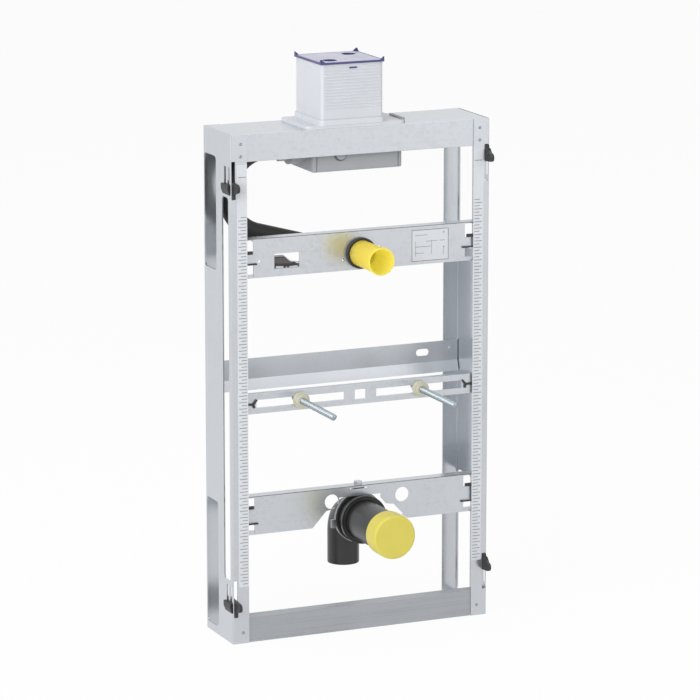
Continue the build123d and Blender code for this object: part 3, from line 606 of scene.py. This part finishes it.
front_rivets, rear_rivets = Mesh(), Mesh()
rail_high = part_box("rear_rail")[1]
for side, _ in SIDES:
    for height in FRONT_RIVETS:
        rivet(front_rivets, (side * RIVET_X, height), flange_front)
    rivet(rear_rivets, (side * RIVET_X, rail_high.z - REAR_RIVET_DROP), rail_high.y - SHEET)
piece("front_rivets", front_rivets, rivet_steel, smooth=True)
piece("rear_rail_rivets", rear_rivets, rear_steel, smooth=True)

# %% [markdown]
# ## Threaded studs
# The bowl hangs on two threaded studs. The CAD stud is a plain round bar of the thread's outside
# size. A bump map would leave a smooth outline, so a real helix replaces it: one profile of root
# and crest, carried round and forward by one pitch a turn, over a core that fills it.

# %% Thread
PITCH, DEPTH, STEPS = 1.5 * MM, 0.8 * MM, 24
PROFILE = ((0.0, DEPTH), (0.35, 0.0), (0.5, 0.0), (0.85, DEPTH))
CORE_CUT, CORE_CHAMFER = 0.98 * DEPTH, 1.4 * DEPTH


def threaded_rod(name, node):
    """Rod with a helical thread, in place of a CAD bar along Y."""
    low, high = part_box(node)
    center_x, center_z = (low.x + high.x) / 2, (low.z + high.z) / 2
    radius = (high.x - low.x) / 2
    mesh = Mesh()
    rows = (int((high.y - low.y) / PITCH) - 1) * STEPS + 1
    for row in range(rows):
        angle = tau * row / STEPS
        for forward, cut in PROFILE:
            y = low.y + PITCH * (row / STEPS + forward)
            reach = radius - cut
            x, z = center_x + reach * cos(angle), center_z + reach * sin(angle)
            mesh.corners.append((x, y, z))
    width = len(PROFILE)
    for row in range(rows - 1):
        for column in range(width - 1):
            here = row * width + column
            mesh.faces.append([here, here + 1, here + width + 1, here + width])
    core = [(radius - CORE_CHAMFER, low.y), (radius - CORE_CUT, low.y + DEPTH)]
    core += [(radius - CORE_CUT, high.y - DEPTH), (radius - CORE_CHAMFER, high.y)]
    mesh.turned((center_x, center_z), core, steps=STEPS)
    rod = piece(name, mesh, stud_steel, smooth=True)
    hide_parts(node)


for _, side_name in SIDES:
    threaded_rod(f"{side_name}_threaded_stud", f"{side_name}_stud")

# %% [markdown]
# ## Label on the upper plate
# The upper plate carries a fitter's label. It is left generic here: a white film with a thin frame
# and a few bars and dots where a drawing would sit. As on the scales, each is a thin solid. First
# comes the layout: where the label lies, and how far film and ink stand in front of the plate.

# %% Label layout
LABEL_LEFT, LABEL_RIGHT = 86 * MM, 148 * MM
LABEL_BOTTOM, LABEL_TOP = 574 * MM, 623 * MM
LINE = 0.8 * MM
film_front = plate_low.y - FILM
ink_front = film_front - INK
label_size = (LABEL_RIGHT - LABEL_LEFT, LABEL_TOP - LABEL_BOTTOM)
print("label of", " x ".join(f"{side / MM:.0f}" for side in label_size), "mm")

# %% [markdown]
# ## Bars and dots on the label
# The drawing of the real label is not copied. Six level bars, three upright ones and two dots in a
# paler ink keep the label from looking empty. Each bar is written as its corner on the label and
# its length, in millimetres.

# %% Label bars
print_ink = moulded("print_ink", grey(0.3), grey(0.38), 0.6, relief=0.03)
BAR = 1 * MM
LEVEL_BARS = ((6, 40, 20), (24, 30, 12), (36, 30, 7), (47, 30, 9), (6, 22, 26), (6, 12, 14))
UPRIGHT_BARS = ((6, 8, 24), (33, 10, 22), (53, 8, 10))
DOT_RADIUS, DOT_INSET, DOT_RISES = 1.4 * MM, 8 * MM, (20 * MM, 43 * MM)
bars = Mesh()


def bar(left, rise, width, height):
    """Adds one bar of ink whose lower left corner is given on the label, in millimetres."""
    x, z = LABEL_LEFT + left * MM, LABEL_BOTTOM + rise * MM
    bars.box((x, ink_front, z), (x + width, film_front, z + height))


for left, rise, width in LEVEL_BARS:
    bar(left, rise, width * MM, BAR)
for left, rise, height in UPRIGHT_BARS:
    bar(left, rise, LINE, height * MM)
for rise in DOT_RISES:
    center = (LABEL_RIGHT - DOT_INSET, LABEL_BOTTOM + rise)
    bars.turned(center, [(DOT_RADIUS, film_front), (DOT_RADIUS, ink_front)])
piece("plate_label_bars", bars, print_ink)

# %% [markdown]
# ## Film and frame of the label
# The film is one box on the plate. The frame round it could be a single box with a hole; four bars
# along the edges are simpler, and where they cross at the corners nothing shows.

# %% Label film and frame
label_ink = moulded("label_ink", grey(0.1), grey(0.15), 0.6, relief=0.03)
film, lines = Mesh(), Mesh()
film.box((LABEL_LEFT, film_front, LABEL_BOTTOM), (LABEL_RIGHT, plate_low.y, LABEL_TOP))
for low, high in (
    ((LABEL_LEFT, LABEL_BOTTOM), (LABEL_RIGHT, LABEL_BOTTOM + LINE)),
    ((LABEL_LEFT, LABEL_TOP - LINE), (LABEL_RIGHT, LABEL_TOP)),
    ((LABEL_LEFT, LABEL_BOTTOM), (LABEL_LEFT + LINE, LABEL_TOP)),
    ((LABEL_RIGHT - LINE, LABEL_BOTTOM), (LABEL_RIGHT, LABEL_TOP)),
):
    lines.box((low[0], ink_front, low[1]), (high[0], film_front, high[1]))
piece("plate_label", film, label_white)
piece("plate_label_frame", lines, label_ink)

# %% [markdown]
# ## The latch in the cut-out
# A pale insert is snapped into the plate's cut-out, and a dark latch lies on it. In the photograph
# it looks like one small moulding; here it is an outline with three rims and two round catches,
# since a shader would not catch the light on its edges. The outlines are written in millimetres,
# from a point just inside the insert's lower left corner.

# %% Latch
INSERT_MARGIN = 4 * MM
LATCH, RIM_RISE, CATCH = 0.5 * MM, 0.3 * MM, 0.9 * MM
CATCH_RADIUS, CATCH_HEIGHT, CATCHES = 2.1 * MM, 2.4 * MM, (17.0 * MM, 22.5 * MM)
insert_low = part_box("plate_insert")[0]
latch_left, latch_foot = insert_low.x + INSERT_MARGIN, insert_low.z + INSERT_MARGIN
latch_back = insert_low.y
latch_front = latch_back - LATCH


def latch_points(*points):
    return [(latch_left + x * MM, latch_foot + z * MM) for x, z in points]


BODY = latch_points(
    (0.5, 0.3), (2.6, 0.3), (2.8, 4.4), (7.7, 3.8), (27.3, 2.6), (38.0, 3.0), (38.6, 0.8),
    (40.5, 0.8), (40.5, 5.6), (36.8, 5.8), (34.0, 8.2), (29.0, 8.4), (24.0, 11.0),
    (16.5, 18.0), (0.5, 18.5),
)
TOP_RIM = latch_points((0.5, 17.0), (15.6, 16.6), (16.5, 18.0), (0.5, 18.5))
FOOT_RIM = latch_points(
    (0.5, 4.2), (7.7, 3.6), (27.3, 2.4), (38.0, 2.8), (38.0, 5.4), (27.3, 6.0), (0.5, 8.0)
)
NOSE_RIM = latch_points((29.0, 6.0), (34.0, 6.0), (34.0, 8.2), (29.0, 8.4))
body, rims = Mesh(), Mesh()
body.slab(BODY, latch_front, latch_back)
for rim in (TOP_RIM, FOOT_RIM, NOSE_RIM):
    rims.slab(rim, latch_front - RIM_RISE, latch_front)
for x in CATCHES:
    center = (latch_left + x, latch_foot + CATCH_HEIGHT)
    rims.turned(center, [(CATCH_RADIUS, latch_back), (CATCH_RADIUS, latch_back - CATCH)])
piece("insert_latch", body, latch_grey)
piece("insert_latch_rims", rims, black_plastic)

# %% [markdown]
# ## Shadow gap round the valve's port
# The port in the housing's front stands in a narrow gap that lies in shade. A groove that fine would
# be lost in the bevels of the solid; a thin dark disc behind the port, a little wider than it, is
# painted shade that shows as a ring.

# %% Painted shade round the port
# Dark grey of the disc: painted shade of the gap round the port.
gap_shade_grey = moulded("gap_shade_grey", grey(0.1, COOL), grey(0.13, COOL), 0.5)
PORT_X, PORT_LENGTH, PORT_RING, RING_STEPS = -30 * MM, 4 * MM, 10.6 * MM, 40
port_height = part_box("top_rail")[0].z
port_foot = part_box("valve_housing")[0].y + PORT_LENGTH
ring = [(PORT_RING, port_foot), (PORT_RING, port_foot - FILM)]
gap_shade_disc = Mesh()
gap_shade_disc.turned((PORT_X, port_height), ring, steps=RING_STEPS)
piece("port_gap_shade", gap_shade_disc, gap_shade_grey)

# %% [markdown]
# ## Slit under the lid
# The shaft has a short slit in its front wall, under the lid, and it looks blue like the lid. The
# wall stays whole in CAD; a small blue block set level with its front reads as the slit.

# %% Slit
SLIT_MIDDLE, SLIT_WIDTH = -12.7 * MM, 12.4 * MM
SLIT_HEIGHT, SLIT_DROP, SLIT_DEPTH = 2.2 * MM, 7.4 * MM, 1 * MM
slit_bottom = box_high.z - SLIT_DROP
slit = Mesh()
slit.box(
    (SLIT_MIDDLE - SLIT_WIDTH / 2, box_low.y, slit_bottom),
    (SLIT_MIDDLE + SLIT_WIDTH / 2, box_low.y + SLIT_DEPTH, slit_bottom + SLIT_HEIGHT),
)
piece("shaft_slit", slit, lid_plastic)

# %% [markdown]
# ## Floor
# The frame stands on a plain pale floor. Paint alone would render as grey under this light, so for
# what the camera, mirrors and glass see, most of it is a white glow of strength 1. The rest stays
# paint, which keeps the frame's shadow.

# %% Studio floor
FLOOR_HALF, FLOOR_PAINT, FLOOR_GLOW = 20.0, 0.92, 0.93


def studio_floor():
    data = bpy.data.meshes.new("studio_floor")
    corners = [(x * FLOOR_HALF, y * FLOOR_HALF, 0) for x, y in ((-1, -1), (1, -1), (1, 1), (-1, 1))]
    data.from_pydata(corners, [], [(0, 1, 2, 3)])
    finish = Finish("floor_paint", base_color=grey(FLOOR_PAINT), roughness=0.9)
    white = finish.node("Emission", inputs={"Color": grey(1.0), "Strength": 1.0})
    finish.mix(FLOOR_GLOW * finish.seen(), white)
    data.materials.append(finish.material)
    floor = bpy.data.objects.new("studio_floor", data)
    bpy.context.scene.collection.objects.link(floor)


studio_floor()
print("floor of", 2 * FLOOR_HALF, "m")

# %% [markdown]
# ## World
# The world is white for what the camera and the metal see, and much weaker as a light, so that
# folds and sides still fall into shade. A picture of a studio would do it too, but it would put
# someone else's windows on the steel.

# %% World light
AMBIENT = 0.45
world = bpy.data.worlds.new("studio")
bpy.context.scene.world = world
world.use_nodes = True
sky = Graph(world.node_tree)
background = sky.tree.nodes["Background"]
background.inputs["Color"].default_value = grey(1.0)
strength = AMBIENT + (1 - AMBIENT) * sky.seen()
sky.tree.links.new(strength.socket, background.inputs["Strength"])
print("world white, ambient light", AMBIENT)

# %% [markdown]
# ## Lamps
# Even studio light: a large soft lamp on the left, a weaker one in front on the right and one
# overhead. They are wide on purpose. A small lamp of the same power would be mirrored in the sheet
# as a white patch, and its shadows would be hard.

# %% Lamps
FOCUS = Vector((0.0, 0.04, 0.45))


def soft_lamp(name, place, power, size):
    """Square lamp that looks at the middle of the frame, with its power in watts."""
    light = bpy.data.lights.new(name, "AREA")
    light.energy = power
    light.size = size
    lamp = bpy.data.objects.new(name, light)
    lamp.location = place
    lamp.rotation_euler = (FOCUS - Vector(place)).to_track_quat("-Z", "Y").to_euler()
    bpy.context.scene.collection.objects.link(lamp)
    print(name, power, "W over", size, "m")


soft_lamp("key_lamp", (-3.6, -2.2, 2.4), power=146, size=4.0)
soft_lamp("fill_lamp", (2.4, -3.2, 1.8), power=26, size=3.6)
soft_lamp("top_lamp", (0.0, 0.3, 3.4), power=36, size=5.0)

# %% [markdown]
# ## Camera
# The photograph looks at the frame from the left, a little from above, through a long lens.
# The place, the turn and the focal length below were fitted to the corners of the frame.

# %% Camera
CAMERA_PLACE = Vector((-2.416, -5.508, 1.745))
CAMERA_YAW, CAMERA_PITCH = radians(23.564), radians(12.228)
FOCAL_PIXELS, IMAGE_PIXELS, SENSOR = 4009.0, 700.0, 36.0
level = cos(CAMERA_PITCH)
view = Vector((sin(CAMERA_YAW) * level, cos(CAMERA_YAW) * level, -sin(CAMERA_PITCH)))
lens = bpy.data.cameras.new("camera")
lens.sensor_width = SENSOR
lens.lens = FOCAL_PIXELS * SENSOR / IMAGE_PIXELS
camera = bpy.data.objects.new("camera", lens)
camera.location = CAMERA_PLACE
camera.rotation_euler = view.to_track_quat("-Z", "Y").to_euler()
bpy.context.scene.collection.objects.link(camera)
bpy.context.scene.camera = camera
bpy.context.scene.view_settings.view_transform = "Standard"
print("lens", round(lens.lens, 1), "mm")
